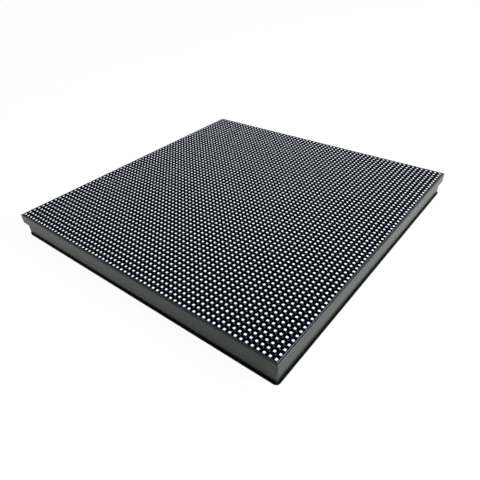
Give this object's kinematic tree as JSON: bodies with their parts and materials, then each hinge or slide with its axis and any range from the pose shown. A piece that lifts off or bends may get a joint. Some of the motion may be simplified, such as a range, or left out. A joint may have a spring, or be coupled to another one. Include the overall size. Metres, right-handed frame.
{
  "type": "rgb led matrix panel",
  "caption": "Square RGB LED matrix module with a black louvred front mask, a circuit board and a moulded rear case with open windows, signal headers and a power socket.",
  "frame": {"origin": "centre of the rear face, on the surface that the panel lies on", "axes": "+Z out of the lit face; X along the lamp rows, with the signal input header at -X and the output header at +X"},
  "size_m": [0.192, 0.192, 0.015],
  "materials": {
    "mask_plastic": "matte black moulded louvre mask",
    "lamp_body": "white lamp packages with a clear face",
    "board_laminate": "glass-fibre laminate with a dark solder mask",
    "case_plastic": "satin dark grey moulded plastic",
    "screw_steel": "zinc-plated steel",
    "turned_brass": "turned brass",
    "header_plastic": "black moulded connector plastic",
    "pin_gold": "gold-flashed square pins",
    "socket_nylon": "natural white nylon",
    "pin_tin": "tinned square pins",
    "chip_resin": "matte black moulding resin",
    "resistor_body": "black glazed resistor bodies",
    "capacitor_ceramic": "fired ceramic chips",
    "can_aluminium": "drawn aluminium cans"
  },
  "bodies": {
    "root": {"front_mask": "mask_plastic", "lamp_rows": "lamp_body", "circuit_board": "board_laminate", "rear_case": "case_plastic", "case_screws": "screw_steel", "board_standoffs": "turned_brass", "mounting_inserts": "turned_brass", "input_header_shroud": "header_plastic", "input_header_pins": "pin_gold", "output_header_shroud": "header_plastic", "output_header_pins": "pin_gold", "power_socket_housing": "socket_nylon", "power_socket_pins": "pin_tin", "driver_chips": "chip_resin", "row_switch_chips": "chip_resin", "buffer_chips": "chip_resin", "resistor_networks": "resistor_body", "ceramic_capacitors": "capacitor_ceramic", "chip_resistors": "resistor_body", "storage_capacitor_cans": "can_aluminium", "storage_capacitor_bases": "chip_resin"}
  },
  "joints": []
}
